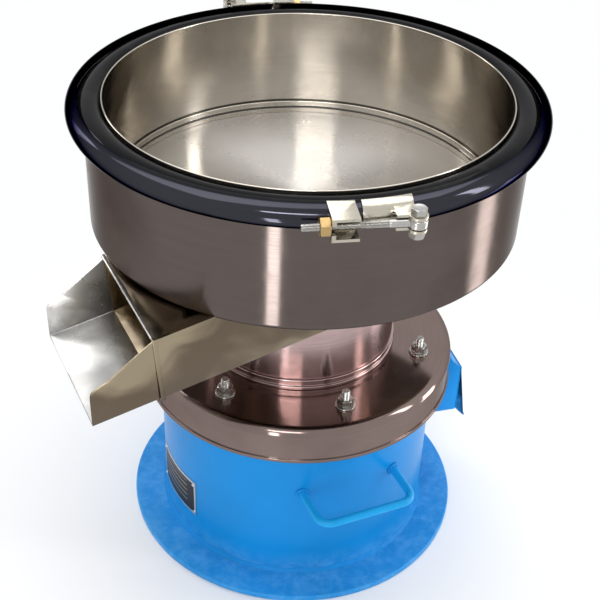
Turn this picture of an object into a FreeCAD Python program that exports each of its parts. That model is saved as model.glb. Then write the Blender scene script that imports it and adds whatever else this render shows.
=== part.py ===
"""Vibrating sieve: round base, sprung deck with vertical motor, tub with chute, clamped sieve basket.

Millimetres, +Z up. The origin is the centre of the foot ring's underside, the discharge
chute points to -X and -Y, and every driving size is a cell of the sheet called Sizes.
"""
import FreeCAD
import Part
import Sketcher
import math
import os

doc = FreeCAD.newDocument("VibratingSieve")
sheet = doc.addObject("Spreadsheet::Sheet", "Sizes")
Vector = FreeCAD.Vector

# name, value: mm, or degrees where the name ends in azimuth or angle, or a share or a count
SIZES = [
    # base
    ("shell_radius", 175), ("shell_wall", 4), ("shell_height", 214),
    ("foot_flange", 43), ("foot_lip", 25), ("foot_thickness", 8),
    ("seat_ring_width", 53), ("seat_ring_thickness", 8),
    # rubber mounts between base and deck
    ("mount_inset", 20), ("mount_radius", 15), ("mount_height", 28),
    ("mount_azimuth", -72.5), ("mount_step_angle", 54.5),
    ("stud_radius", 5), ("stud_rise", 22), ("stud_drop", 20),
    ("nut_corner_radius", 9.8), ("nut_height", 9), ("washer_radius", 12), ("washer_height", 2),
    # deck and neck
    ("cover_overhang", 19), ("cover_sheet", 2.5), ("cover_drop", 48), ("cover_shoulder", 10),
    ("hem_height", 5), ("hem_step", 1.5),
    ("deck_play", 11.5), ("deck_thickness", 9.5), ("deck_bore", 60),
    ("neck_inset", 37), ("neck_wall", 3), ("neck_height", 182),
    ("collar_height", 15), ("collar_step", 3),
    # tub
    ("tub_radius", 248), ("tub_wall", 2.5), ("tub_floor", 3), ("tub_depth", 129), ("tub_corner", 8),
    ("rim_upstand", 12),
    # discharge chute, in its own frame: along, across and up
    ("chute_azimuth", 202), ("chute_slope_angle", 10), ("chute_sheet", 2),
    ("chute_far_side", 3), ("chute_near_inset", 78), ("chute_drop", 42),
    ("mouth_inset", 2), ("mouth_drop", 8.4), ("trough_length", 70),
    ("trough_end_height", 43), ("trough_corner", 18), ("mouth_bead", 2.5),
    # clamp ring
    ("clamp_overhang", 5), ("clamp_tube_radius", 13), ("clamp_sheet", 2),
    ("clamp_seat_share", 0.6923), ("clamp_fit", 0.4), ("clamp_gap", 10), ("clamp_azimuth", -85),
    # clamp hardware, along and outward from the split of the ring
    ("bolt_clear", 1.2), ("bolt_rise", 3), ("bolt_radius", 4), ("pivot_along", 59), ("bolt_tip", 49),
    ("eye_radius", 9), ("eye_height", 10), ("pin_fit", 0.05), ("pin_nut_share", 0.8),
    ("lug_sheet", 3), ("lug_length", 20), ("saddle_sheet", 2.5), ("saddle_angle", 30),
    ("fork_along", 18), ("fork_sheet", 4), ("fork_height", 24), ("fork_reach", 9),
    ("slot_play", 1.4), ("fork_cover_share", 0.4), ("clamp_nut_length", 10),
    # basket
    ("basket_gap", 23), ("basket_wall", 2), ("basket_lip", 14), ("flange_inset", 3.6),
    ("flange_sheet", 2.4), ("gasket_under", 3.2), ("gasket_over", 11), ("gasket_round", 5),
    ("mesh_clearance", 9), ("mesh_ring_height", 15), ("mesh_ring_width", 4), ("mesh_thickness", 0.8),
    ("mesh_ledge", 6),
    # vibration motor
    ("motor_radius", 88), ("motor_wall", 10), ("motor_length", 168), ("motor_flange_width", 24),
    ("motor_flange", 12), ("rib_count", 12), ("rib_length_share", 0.7), ("rib_rise", 20),
    ("rib_depth", 6), ("rib_width", 4), ("motor_bolt_count", 6),
    ("shield_thickness", 12), ("shield_play", 2), ("hub_radius", 40), ("hub_length", 14),
    ("bearing_radius", 31), ("bearing_width", 18), ("shaft_radius", 16), ("core_radius", 45),
    ("core_gap", 0.6), ("core_length", 90), ("weight_inset", 10), ("weight_height", 18),
    ("weight_hub", 27), ("weight_gap", 22), ("weight_drop", 1.2), ("shaft_end", 18),
    # carry handles
    ("handle_azimuth", -70), ("handle_span", 122), ("handle_stand", 47), ("handle_drop", 76),
    ("handle_bar", 5), ("handle_bend", 16),
    # terminal box
    ("box_azimuth", 12), ("box_width", 90), ("box_depth", 37), ("box_height", 85), ("box_clear", 3),
    ("box_sunk", 8), ("box_chamfer", 13), ("box_sheet", 2), ("lip_drop", 14), ("cable_hole", 12),
    ("screw_inset", 8), ("screw_radius", 4), ("screw_height", 2),
    ("gland_rise", 26), ("gland_radius", 9), ("gland_flange", 12.6), ("gland_dome", 10.4),
    ("gland_bore", 4.5), ("gland_step", 6),
    # nameplate
    ("plate_azimuth", -153.5), ("plate_angle", 29.6), ("plate_rise", 41), ("plate_height", 57),
    ("plate_sheet", 1), ("plate_seat", 0.1), ("rivet_radius", 2), ("rivet_inset", 5),
    # general
    ("running_gap", 0.3),
]


class Size:
    """A number together with the sheet formula that gives it."""

    def __init__(self, number, formula):
        self.number = float(number)
        self.formula = formula

    def __add__(self, other):
        return joined(self, other, "+", self.number + size(other).number)

    def __sub__(self, other):
        return joined(self, other, "-", self.number - size(other).number)

    def __mul__(self, other):
        return joined(self, other, "*", self.number * size(other).number)

    def __truediv__(self, other):
        return joined(self, other, "/", self.number / size(other).number)

    def __radd__(self, other):
        return size(other) + self

    def __rsub__(self, other):
        return size(other) - self

    def __rmul__(self, other):
        return size(other) * self

    def __neg__(self):
        return Size(-self.number, "(0 - %s)" % self.formula)


def size(value):
    return value if isinstance(value, Size) else Size(value, "%.9g" % value)


def joined(left, right, sign, number):
    return Size(number, "(%s %s %s)" % (size(left).formula, sign, size(right).formula))


def cosine(angle):
    return Size(math.cos(math.radians(angle.number)), "cos(%s * 1 deg)" % angle.formula)


def sine(angle):
    return Size(math.sin(math.radians(angle.number)), "sin(%s * 1 deg)" % angle.formula)


def tangent(angle):
    return Size(math.tan(math.radians(angle.number)), "tan(%s * 1 deg)" % angle.formula)


def root(value):
    return Size(math.sqrt(value.number), "sqrt(%s)" % value.formula)


class Cells:
    """The sheet's cells by name, so that S.tub_radius is the Size of that cell."""


S = Cells()
for row, (alias, value) in enumerate(SIZES, start=1):
    sheet.set("A%d" % row, alias)
    sheet.set("B%d" % row, str(value))
    sheet.setAlias("B%d" % row, alias)
    setattr(S, alias, Size(value, "Sizes." + alias))
doc.recompute()

nodes = []
ZERO = size(0)


# ---------------------------------------------------------------- building blocks

def bind(obj, prop, value):
    """Tie a property of an object to its sheet formula."""
    obj.setExpression(prop, size(value).formula)


def move(obj, x=0, y=0, z=0):
    """Place an object at x, y, z, each tied to its formula."""
    for name, value in (("x", x), ("y", y), ("z", z)):
        bind(obj, "Placement.Base." + name, value)
    return obj


def turn(obj, azimuth):
    """Swing a finished object about the machine's axis."""
    obj.Placement.Rotation = FreeCAD.Rotation(Vector(0, 0, 1), size(azimuth).number)
    bind(obj, "Placement.Rotation.Angle", azimuth)
    return obj


def node(obj, label):
    """Name a finished piece and list it for export."""
    obj.Label = label
    nodes.append(obj)
    return obj


def origin_plane(body, role):
    for feature in body.Origin.OriginFeatures:
        if feature.Role == role:
            return feature
    raise ValueError("no plane " + role)


def pin_point(sketch, geometry, point, axis, value, name):
    """Tie one coordinate of a sketch point to its formula."""
    value = size(value)
    if value.formula == "0":
        line = -2 if axis == "X" else -1
        sketch.addConstraint(Sketcher.Constraint("PointOnObject", geometry, point, line))
        return
    kind = "Distance" + axis
    index = sketch.addConstraint(Sketcher.Constraint(kind, -1, 1, geometry, point, value.number))
    sketch.renameConstraint(index, name)
    sketch.setExpression("Constraints." + name, value.formula)


def outline(body, name, role, corners):
    """A closed sketch with straight sides, every corner tied to the sheet."""
    sketch = body.newObject("Sketcher::SketchObject", name)
    sketch.AttachmentSupport = [(origin_plane(body, role), "")]
    sketch.MapMode = "FlatFace"
    corners = [(size(x), size(y)) for x, y in corners]
    points = [Vector(x.number, y.number, 0) for x, y in corners]
    for index, point in enumerate(points):
        sketch.addGeometry(Part.LineSegment(point, points[(index + 1) % len(points)]), False)
    for index in range(len(points)):
        following = (index + 1) % len(points)
        sketch.addConstraint(Sketcher.Constraint("Coincident", index, 2, following, 1))
    for index, (x, y) in enumerate(corners):
        pin_point(sketch, index, 1, "X", x, "across%d" % index)
        pin_point(sketch, index, 1, "Y", y, "up%d" % index)
    return sketch


def turned(name, corners, angle=None):
    """A body revolved about Z from corners given as radius and height."""
    body = doc.addObject("PartDesign::Body", name)
    sketch = outline(body, name + "Profile", "XZ_Plane", corners)
    feature = body.newObject("PartDesign::Revolution", name + "Turn")
    feature.Profile = sketch
    feature.ReferenceAxis = (sketch, ["V_Axis"])
    if angle is not None:
        feature.Midplane = True
        feature.Angle = angle.number
        bind(feature, "Angle", angle)
    sketch.Visibility = False
    doc.recompute()
    return body


def padded(name, corners, role, length, start=None):
    """A body padded from an outline: both ways by default, or upward from start."""
    body = doc.addObject("PartDesign::Body", name)
    sketch = outline(body, name + "Outline", role, corners)
    feature = body.newObject("PartDesign::Pad", name + "Pad")
    feature.Profile = sketch
    feature.Length = size(length).number
    bind(feature, "Length", length)
    feature.Midplane = start is None
    sketch.Visibility = False
    if start is not None:
        move(body, 0, 0, start)
    doc.recompute()
    return body


def rounded(body, radius, wanted):
    """Round those edges of a body that pass the test wanted(edge)."""
    tip = body.Tip
    edges = ["Edge%d" % (i + 1) for i, edge in enumerate(tip.Shape.Edges) if wanted(edge)]
    fillet = body.newObject("PartDesign::Fillet", body.Name + "Round%d" % len(body.Group))
    fillet.Base = (tip, edges)
    fillet.Radius = radius.number
    bind(fillet, "Radius", radius)
    tip.Visibility = False
    doc.recompute()
    return body


def circle_at(radius, height):
    """Test for a full circle about Z with that radius and height."""
    def wanted(edge):
        curve = edge.Curve
        return (isinstance(curve, Part.Circle) and abs(curve.Radius - size(radius).number) < 1e-3
                and abs(curve.Center.z - size(height).number) < 1e-3)
    return wanted


def cylinder(name, radius, length, x=0, y=0, z=0, axis="Z"):
    """A cylinder that starts at x, y, z and runs along +X, +Y or +Z."""
    obj = doc.addObject("Part::Cylinder", name)
    bind(obj, "Radius", radius)
    bind(obj, "Height", length)
    turns = {"X": (Vector(0, 1, 0), 90), "Y": (Vector(1, 0, 0), -90), "Z": (Vector(0, 0, 1), 0)}
    obj.Placement.Rotation = FreeCAD.Rotation(*turns[axis])
    return move(obj, x, y, z)


def drill(name, radius, low, height, first=0, second=0, axis="Z"):
    """A cutting cylinder that runs past both ends of a stretch, with its two other coordinates."""
    before = low - height
    corner = {"X": (before, first, second), "Y": (first, before, second), "Z": (first, second, before)}
    return cylinder(name, radius, height * 3, *corner[axis], axis)


def hexagon(name, corner_radius, length, x=0, y=0, z=0, axis="Z"):
    """A six-sided prism that starts at x, y, z."""
    obj = doc.addObject("Part::Prism", name)
    obj.Polygon = 6
    bind(obj, "Circumradius", corner_radius)
    bind(obj, "Height", length)
    if axis == "X":
        obj.Placement.Rotation = FreeCAD.Rotation(Vector(0, 1, 0), 90)
    return move(obj, x, y, z)


def box(name, length, width, height, x, y, z):
    """A box whose lowest corner is at x, y, z."""
    obj = doc.addObject("Part::Box", name)
    bind(obj, "Length", length)
    bind(obj, "Width", width)
    bind(obj, "Height", height)
    return move(obj, x, y, z)


def half_tube(name, tube_radius, last=90, sweep=360):
    """The outward half of a torus on the clamp ring's centre line."""
    obj = doc.addObject("Part::Torus", name)
    bind(obj, "Radius1", lip_radius)
    bind(obj, "Radius2", tube_radius)
    obj.Angle1 = -90
    bind(obj, "Angle2", last)
    bind(obj, "Angle3", sweep)
    return move(obj, 0, 0, clamp_middle)


def holder(name, shape):
    """A compound round one shape, which can be swung as a whole."""
    obj = doc.addObject("Part::Compound", name)
    obj.Links = [shape]
    return obj


def cut(name, base, *tools):
    """Base less every tool."""
    for tool in tools:
        obj = doc.addObject("Part::Cut", name)
        obj.Base = base
        obj.Tool = tool
        base = obj
    return base


def fuse(name, *shapes):
    obj = doc.addObject("Part::MultiFuse", name)
    obj.Shapes = list(shapes)
    obj.Refine = True
    return obj


def common(name, first, second):
    obj = doc.addObject("Part::Common", name)
    obj.Base = first
    obj.Tool = second
    return obj


def group(label, members):
    """Separate solids that share one node."""
    obj = doc.addObject("Part::Compound", label + "_group")
    obj.Links = members
    return node(obj, label)


# ---------------------------------------------------------------- levels and shared places

shell_top = S.foot_thickness + S.shell_height
shell_bore = S.shell_radius - S.shell_wall
seat_low = shell_top - S.seat_ring_thickness
mount_circle = S.shell_radius - S.mount_inset
deck_low = shell_top + S.mount_height
deck_top = deck_low + S.deck_thickness
cover_top = deck_top + S.cover_sheet
cover_low = cover_top - S.cover_drop
cover_radius = S.shell_radius + S.cover_overhang
neck_radius = mount_circle - S.neck_inset

tub_low = cover_top + S.neck_height
tub_floor_top = tub_low + S.tub_floor
rim_low = tub_low + S.tub_depth
rim_top = rim_low + S.tub_wall
tub_bore = S.tub_radius - S.tub_wall
slope = tangent(S.chute_slope_angle)
mouth_reach = S.tub_radius - S.mouth_inset
duct_near = S.chute_far_side
duct_far = S.tub_radius - S.chute_near_inset

lip_radius = S.tub_radius + S.clamp_overhang
clamp_seat = S.clamp_tube_radius * S.clamp_seat_share
clamp_middle = rim_low + clamp_seat
tube_inside = S.clamp_tube_radius - S.clamp_sheet
bolt_reach = lip_radius + S.clamp_tube_radius + S.nut_corner_radius + S.bolt_clear
bolt_level = clamp_middle + S.bolt_rise
bracket_inner = lip_radius + S.clamp_sheet
basket_radius = S.tub_radius - S.basket_gap

motor_bore = S.motor_radius - S.motor_wall
barrel_low = deck_low - S.motor_length
box_high = cover_low - S.box_clear
box_low = box_high - S.box_height
gland_level = box_low + S.gland_rise
mount_azimuths = [S.mount_azimuth + side + S.mount_step_angle * place
                  for side in (0, 180) for place in (-1, 0, 1)]


def mount_places():
    """The centre of each rubber mount."""
    for azimuth in mount_azimuths:
        yield mount_circle * cosine(azimuth), mount_circle * sine(azimuth)


# ---------------------------------------------------------------- base

def build_base():
    foot_bore = S.shell_radius - S.foot_lip
    foot_radius = S.shell_radius + S.foot_flange
    foot = turned("Foot", [
        (foot_bore, ZERO), (foot_radius, ZERO),
        (foot_radius, S.foot_thickness), (foot_bore, S.foot_thickness)])
    node(foot, "foot_ring")

    shell = turned("Shell", [
        (shell_bore, S.foot_thickness), (S.shell_radius, S.foot_thickness),
        (S.shell_radius, shell_top), (shell_bore, shell_top)])
    cable_way = holder("CableWay", cylinder("CableHole", S.cable_hole, S.shell_radius * 2, axis="X"))
    move(cable_way, 0, 0, gland_level)
    node(cut("ShellCut", shell, turn(cable_way, S.box_azimuth)), "base_shell")

    ring_bore = shell_bore - S.seat_ring_width
    seat = turned("SeatRing", [
        (ring_bore, seat_low), (shell_bore, seat_low), (shell_bore, shell_top), (ring_bore, shell_top)])
    holes = [drill("SeatHole", S.stud_radius, seat_low, S.seat_ring_thickness, x, y)
             for x, y in mount_places()]
    node(cut("SeatCut", seat, *holes), "mount_seat_ring")


def mount_nut(name, low, x, y):
    """A plain nut round a mount's stud."""
    blank = hexagon(name + "Blank", S.nut_corner_radius, S.nut_height, x, y, low)
    return cut(name, blank, drill(name + "Bore", S.stud_radius, low, S.nut_height, x, y))


def build_mounts():
    rubbers = []
    lower_studs = []
    lower_nuts = []
    upper_studs = []
    washers = []
    nuts = []
    nut_low = cover_top + S.washer_height
    rise = cover_top - deck_low + S.stud_rise
    for x, y in mount_places():
        rubbers.append(cylinder("Rubber", S.mount_radius, S.mount_height, x, y, shell_top))
        lower_studs.append(cylinder("LowerStud", S.stud_radius, S.stud_drop, x, y, shell_top - S.stud_drop))
        lower_nuts.append(mount_nut("LowerNut", seat_low - S.nut_height, x, y))
        upper_studs.append(cylinder("UpperStud", S.stud_radius, rise, x, y, deck_low))
        disc = cylinder("WasherDisc", S.washer_radius, S.washer_height, x, y, cover_top)
        bore = drill("WasherBore", S.stud_radius, cover_top, S.washer_height, x, y)
        washers.append(cut("Washer", disc, bore))
        nuts.append(mount_nut("UpperNut", nut_low, x, y))
    group("rubber_mounts", rubbers)
    group("lower_mount_studs", lower_studs)
    group("lower_mount_nuts", lower_nuts)
    group("upper_mount_studs", upper_studs)
    group("upper_mount_washers", washers)
    group("upper_mount_nuts", nuts)


def build_handle(label, azimuth):
    half = S.handle_span / 2
    bend = S.handle_bend
    handle_reach = S.shell_radius + S.handle_stand
    legs_to = handle_reach - bend
    start = S.shell_radius / 2
    pieces = []
    for side in (1, -1):
        leg = cylinder(label + "Leg", S.handle_bar, legs_to - start, start, half * side, 0, "X")
        elbow = doc.addObject("Part::Torus", label + "Elbow")
        bind(elbow, "Radius1", bend)
        bind(elbow, "Radius2", S.handle_bar)
        elbow.Angle3 = 90
        elbow.Placement.Rotation = FreeCAD.Rotation(Vector(0, 0, 1), 0 if side == 1 else -90)
        move(elbow, legs_to, (half - bend) * side, 0)
        pieces += [leg, elbow]
    pieces.append(cylinder(label + "Grip", S.handle_bar, S.handle_span - bend * 2,
                           handle_reach, bend - half, 0, "Y"))
    bar = fuse(label + "Bar", *pieces)
    handle = cut(label + "Trim", bar, drill(label + "Wall", S.shell_radius, -S.handle_bar, S.handle_bar * 2))
    move(handle, 0, 0, shell_top - S.handle_drop)
    node(turn(handle, azimuth), label)


def build_terminal_box():
    half = S.box_width / 2
    back = S.shell_radius - S.box_sunk
    front = S.shell_radius + S.box_depth
    wall = S.box_sheet
    shoulder = box_high - S.box_chamfer
    outer = padded("BoxOuter", [
        (back, box_low), (front, box_low), (front, shoulder),
        (front - S.box_chamfer, box_high), (back, box_high)], "XZ_Plane", S.box_width)
    inner = padded("BoxInner", [
        (back - wall, box_low + wall), (front + wall, box_low + wall),
        (front + wall, shoulder - wall), (front - wall, shoulder - wall),
        (front - S.box_chamfer - wall / 2, box_high - wall),
        (back - wall, box_high - wall)], "XZ_Plane", S.box_width - wall * 2)
    shell_wall = cylinder("BoxWall", S.shell_radius, shell_top)
    gland_x = (S.shell_radius + front) / 2
    gland_hole = drill("BoxGlandHole", S.gland_radius, half - wall, wall, gland_x, gland_level, "Y")
    node(turn(cut("BoxTrim", outer, inner, shell_wall, gland_hole), S.box_azimuth), "terminal_box")

    fold = box_low + wall
    cover = padded("Cover", [
        (front, fold), (front, shoulder), (front + wall, shoulder),
        (front + wall, fold), (front + wall + S.lip_drop, fold - S.lip_drop),
        (front + S.lip_drop, fold - S.lip_drop - wall)], "XZ_Plane", S.box_width)
    node(turn(cover, S.box_azimuth), "terminal_cover")

    inset = S.screw_inset
    screws = doc.addObject("Part::Compound", "terminal_screws_group")
    screws.Links = [cylinder("CoverScrew", S.screw_radius, S.screw_height, front + wall, y, z, "X")
                    for y in (inset - half, half - inset)
                    for z in (fold + inset, shoulder - inset)]
    node(turn(screws, S.box_azimuth), "terminal_screws")

    step = S.gland_step
    thread = cylinder("GlandThread", S.gland_radius, wall * 2, gland_x, half - wall, gland_level, "Y")
    flange = cylinder("GlandFlange", S.gland_flange, step, gland_x, half, gland_level, "Y")
    dome = cylinder("GlandDome", S.gland_dome, step * 2, gland_x, half + step, gland_level, "Y")
    bore = drill("GlandBore", S.gland_bore, half, step * 3, gland_x, gland_level, "Y")
    gland = cut("GlandCut", fuse("GlandBody", thread, flange, dome), bore)
    node(turn(gland, S.box_azimuth), "cable_gland")


def build_nameplate():
    low = S.foot_thickness + S.plate_rise
    high = low + S.plate_height
    back = S.shell_radius + S.plate_seat
    face = back + S.plate_sheet
    plate = turned("Plate", [(back, low), (face, low), (face, high), (back, high)], S.plate_angle)
    node(turn(plate, S.plate_azimuth), "nameplate")
    edge = S.plate_angle / 2 - S.plate_angle * S.rivet_inset / S.plate_height / 2
    rivets = []
    for side in (-1, 1):
        for level in (low + S.rivet_inset, high - S.rivet_inset):
            rivet = cylinder("Rivet", S.rivet_radius, S.plate_sheet, face, 0, level, "X")
            rivets.append(turn(holder("RivetPlace", rivet), S.plate_azimuth + edge * side))
    group("nameplate_rivets", rivets)


# ---------------------------------------------------------------- deck, neck and motor

def build_deck():
    inside = cover_radius - S.cover_sheet
    deck_radius = inside - S.deck_play
    plate = turned("DeckPlate", [
        (S.deck_bore, deck_low), (deck_radius, deck_low), (deck_radius, deck_top), (S.deck_bore, deck_top)])
    holes = [drill("DeckHole", S.stud_radius, deck_low, S.deck_thickness, x, y) for x, y in mount_places()]
    node(cut("DeckCut", plate, *holes), "deck_plate")

    hem = cover_radius + S.hem_step
    cover = turned("DeckCover", [
        (S.deck_bore, deck_top), (inside, deck_top), (inside, cover_low), (hem, cover_low),
        (hem, cover_low + S.hem_height), (cover_radius, cover_low + S.hem_height),
        (cover_radius, cover_top), (S.deck_bore, cover_top)])
    rounded(cover, S.cover_shoulder, circle_at(cover_radius, cover_top))
    rounded(cover, S.cover_shoulder - S.cover_sheet, circle_at(inside, deck_top))
    holes = [drill("CoverHole", S.stud_radius, deck_top, S.cover_sheet, x, y) for x, y in mount_places()]
    node(cut("CoverCut", cover, *holes), "deck_cover")

    collar_radius = neck_radius + S.collar_step
    collar_top = cover_top + S.collar_height
    collar = turned("Collar", [
        (neck_radius, cover_top), (collar_radius, cover_top),
        (collar_radius, collar_top), (neck_radius, collar_top)])
    node(collar, "neck_collar")


def build_motor():
    flange_low = deck_low - S.motor_flange
    flange_radius = S.motor_radius + S.motor_flange_width
    housing = turned("Housing", [
        (motor_bore, barrel_low), (S.motor_radius, barrel_low), (S.motor_radius, flange_low),
        (flange_radius, flange_low), (flange_radius, deck_low), (motor_bore, deck_low)])
    rib_step = size(360) / S.rib_count
    ribs = []
    for index in range(int(S.rib_count.number)):
        rib = box("Rib", S.rib_depth + S.rib_width, S.rib_width, S.motor_length * S.rib_length_share,
                  S.motor_radius - S.rib_width, S.rib_width / -2, barrel_low + S.rib_rise)
        ribs.append(turn(holder("RibPlace", rib), rib_step * index))
    node(fuse("HousingBody", housing, *ribs), "motor_housing")

    core_low = barrel_low + (S.motor_length - S.core_length) / 2
    core_high = core_low + S.core_length
    air_radius = S.core_radius + S.core_gap
    stator = turned("Stator", [
        (air_radius, core_low), (motor_bore, core_low), (motor_bore, core_high), (air_radius, core_high)])
    node(stator, "stator_core")

    upper_low = deck_low - S.shield_thickness
    hub_top = deck_low + S.hub_length
    seat = hub_top - S.bearing_width
    shaft_hole = S.shaft_radius + S.shield_play
    shield = turned("UpperShield", [
        (shaft_hole, upper_low), (motor_bore, upper_low), (motor_bore, deck_low),
        (S.hub_radius, deck_low), (S.hub_radius, hub_top), (S.bearing_radius, hub_top),
        (S.bearing_radius, seat), (shaft_hole, seat)])
    node(shield, "upper_end_shield")
    bearing = turned("UpperBearing", [
        (S.shaft_radius, seat), (S.bearing_radius, seat),
        (S.bearing_radius, hub_top), (S.shaft_radius, hub_top)])
    node(bearing, "upper_bearing")

    lower_low = barrel_low - S.shield_thickness
    hub_low = lower_low - S.hub_length
    seat = hub_low + S.bearing_width
    shield = turned("LowerShield", [
        (S.bearing_radius, hub_low), (S.hub_radius, hub_low), (S.hub_radius, lower_low),
        (S.motor_radius, lower_low), (S.motor_radius, barrel_low), (shaft_hole, barrel_low),
        (shaft_hole, seat), (S.bearing_radius, seat)])
    node(shield, "lower_end_shield")
    bearing = turned("LowerBearing", [
        (S.shaft_radius, hub_low), (S.bearing_radius, hub_low),
        (S.bearing_radius, seat), (S.shaft_radius, seat)])
    node(bearing, "lower_bearing")

    bolt_circle = S.motor_radius + S.motor_flange_width / 2
    bolt_step = size(360) / S.motor_bolt_count
    bolts = []
    for index in range(int(S.motor_bolt_count.number)):
        azimuth = bolt_step * (index + 0.5)
        x = bolt_circle * cosine(azimuth)
        y = bolt_circle * sine(azimuth)
        bolts.append(hexagon("MotorBolt", S.nut_corner_radius, S.nut_height, x, y, flange_low - S.nut_height))
    group("motor_bolts", bolts)

    build_rotor(core_low, core_high, hub_low, hub_top)


def weight_plate(name, low):
    """A half-round eccentric weight with a full hub round the shaft."""
    disc = cylinder(name + "Disc", S.motor_radius - S.weight_inset, S.weight_height, z=low)
    disc.Angle = 180
    hub = cylinder(name + "Hub", S.weight_hub, S.weight_height, z=low)
    bore = drill(name + "Bore", S.shaft_radius - S.pin_fit, low, S.weight_height)
    return cut(name + "Cut", fuse(name + "Body", disc, hub), bore)


def build_rotor(core_low, core_high, hub_low, hub_top):
    fit = S.shaft_radius - S.pin_fit
    upper_low = hub_top + S.weight_gap
    lower_low = hub_low - S.weight_drop - S.weight_height
    upper_top = upper_low + S.weight_height
    shaft_low = lower_low - S.nut_height
    node(cylinder("Shaft", fit, upper_top + S.shaft_end - shaft_low, z=shaft_low), "rotor_shaft")
    core = turned("RotorCore", [
        (fit, core_low), (S.core_radius, core_low), (S.core_radius, core_high), (fit, core_high)])
    node(core, "rotor_core")
    node(weight_plate("UpperWeight", upper_low), "upper_weight")
    node(weight_plate("LowerWeight", lower_low), "lower_weight")
    nuts = []
    for low in (upper_top, shaft_low):
        blank = hexagon("LockNutBlank", S.weight_hub, S.nut_height, 0, 0, low)
        nuts.append(cut("LockNut", blank, drill("LockNutBore", fit, low, S.nut_height)))
    group("weight_lock_nuts", nuts)


# ---------------------------------------------------------------- tub and chute

def chute_floor(along):
    """Height of the channel's underside at a distance from the machine's axis."""
    return tub_low - S.chute_drop - along * slope


def across(name, corners, near, far):
    """A prism of the chute's side view between two distances across it."""
    prism = padded(name, corners, "XZ_Plane", far - near)
    move(prism, 0, (near + far) / 2, 0)
    return prism


def in_chute_frame(name, shape):
    return turn(holder(name, shape), S.chute_azimuth)


def round_end(name, radius):
    """What may stay of the channel: all towards its mouth, and within a radius behind the axis."""
    reach = S.tub_radius * 2
    return fuse(name, cylinder(name + "Round", radius, reach, 0, 0, 0),
                box(name + "Front", reach, reach, reach, 0, S.tub_radius * -1, 0))


mouth_top = tub_low - S.mouth_drop
mouth_foot = mouth_reach - (mouth_top - chute_floor(mouth_reach)) * slope / 2


def build_duct():
    """The channel as a full prism, and the space inside it."""
    sheet_thick = S.chute_sheet
    start = S.chute_drop / slope * -1
    roof_end = mouth_reach - (tub_floor_top - mouth_top) / slope - S.tub_corner
    outer = across("DuctOuter", [
        (start, tub_low), (mouth_foot, chute_floor(mouth_foot)), (mouth_reach, mouth_top),
        (roof_end, mouth_top + (mouth_reach - roof_end) * slope), (roof_end, tub_low)],
        duct_near, duct_far)

    inner_start = start + (sheet_thick + S.tub_floor) / slope
    cut_top = tub_floor_top + S.running_gap
    inner_roof = mouth_reach - (cut_top + sheet_thick - mouth_top) / slope
    beyond = mouth_reach + sheet_thick
    inner = across("DuctInner", [
        (inner_start - S.tub_floor, cut_top), (inner_start, chute_floor(inner_start) + sheet_thick),
        (beyond, chute_floor(beyond) + sheet_thick), (beyond, mouth_top - sheet_thick - sheet_thick * slope),
        (inner_roof, cut_top)], duct_near + sheet_thick, duct_far - sheet_thick)

    within = S.tub_radius - S.tub_corner
    solid = common("DuctSolid", outer, round_end("KeepOuter", within))
    hollow = common("DuctHollow", inner, round_end("KeepInner", within - sheet_thick))
    return in_chute_frame("DuctSolidPlace", solid), in_chute_frame("DuctHollowPlace", hollow)


def build_tub_and_chute():
    solid, hollow = build_duct()
    envelope = turned("TubEnvelope", [
        (ZERO, tub_low), (S.tub_radius, tub_low), (S.tub_radius, rim_low), (ZERO, rim_low)])
    rounded(envelope, S.tub_corner, circle_at(S.tub_radius, tub_low))
    node(cut("Channel", solid, hollow, envelope), "chute_channel")

    rim_fit = tube_inside - S.clamp_fit
    rim_radius = lip_radius + root(rim_fit * rim_fit - clamp_seat * clamp_seat)
    upstand_bore = rim_radius - S.tub_wall
    upstand_top = rim_low + S.rim_upstand
    tub = turned("Tub", [
        (ZERO, tub_low), (S.tub_radius, tub_low), (S.tub_radius, rim_low), (rim_radius, rim_low),
        (rim_radius, upstand_top), (upstand_bore, upstand_top), (upstand_bore, rim_top),
        (tub_bore, rim_top), (tub_bore, tub_floor_top), (ZERO, tub_floor_top)])
    rounded(tub, S.tub_corner, circle_at(S.tub_radius, tub_low))
    rounded(tub, S.tub_corner - S.tub_wall, circle_at(tub_bore, tub_floor_top))
    floor_round = cylinder("FloorRound", S.tub_radius - S.tub_corner - S.chute_sheet, tub_low * 2)
    node(cut("TubCut", tub, common("FloorOpening", hollow, floor_round)), "tub")

    neck_bore = neck_radius - S.neck_wall
    neck = turned("Neck", [
        (neck_bore, cover_top), (neck_radius, cover_top), (neck_radius, tub_low), (neck_bore, tub_low)])
    node(cut("NeckCut", neck, solid), "neck")

    build_trough()
    build_mouth_frame()


def build_trough():
    sheet_thick = S.chute_sheet
    end = mouth_reach + S.trough_length
    end_top = chute_floor(end) + S.trough_end_height
    shoulder_along = end - S.trough_corner
    wall = across("TroughOuter", [
        (mouth_foot, chute_floor(mouth_foot)), (end, chute_floor(end)), (end, end_top),
        (shoulder_along, end_top + S.trough_corner / 2), (mouth_reach, mouth_top)],
        duct_near, duct_far)

    def end_corner(edge):
        middle = edge.CenterOfMass
        return abs(middle.x - end.number) < 1e-3 and abs(middle.z - end_top.number) < 1e-3

    def shoulder(edge):
        middle = edge.CenterOfMass
        return abs(middle.x - shoulder_along.number) < 1e-3 and middle.z > end_top.number

    rounded(wall, S.trough_corner / 2, end_corner)
    rounded(wall, S.trough_corner, shoulder)
    beyond = end + sheet_thick
    before = mouth_foot - S.trough_corner / 2
    high = mouth_top + S.trough_corner
    inner = across("TroughInner", [
        (before, chute_floor(before) + sheet_thick), (beyond, chute_floor(beyond) + sheet_thick),
        (beyond, high), (before, high)], duct_near + sheet_thick, duct_far - sheet_thick)
    node(in_chute_frame("TroughPlace", cut("TroughCut", wall, inner)), "chute_trough")


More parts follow.
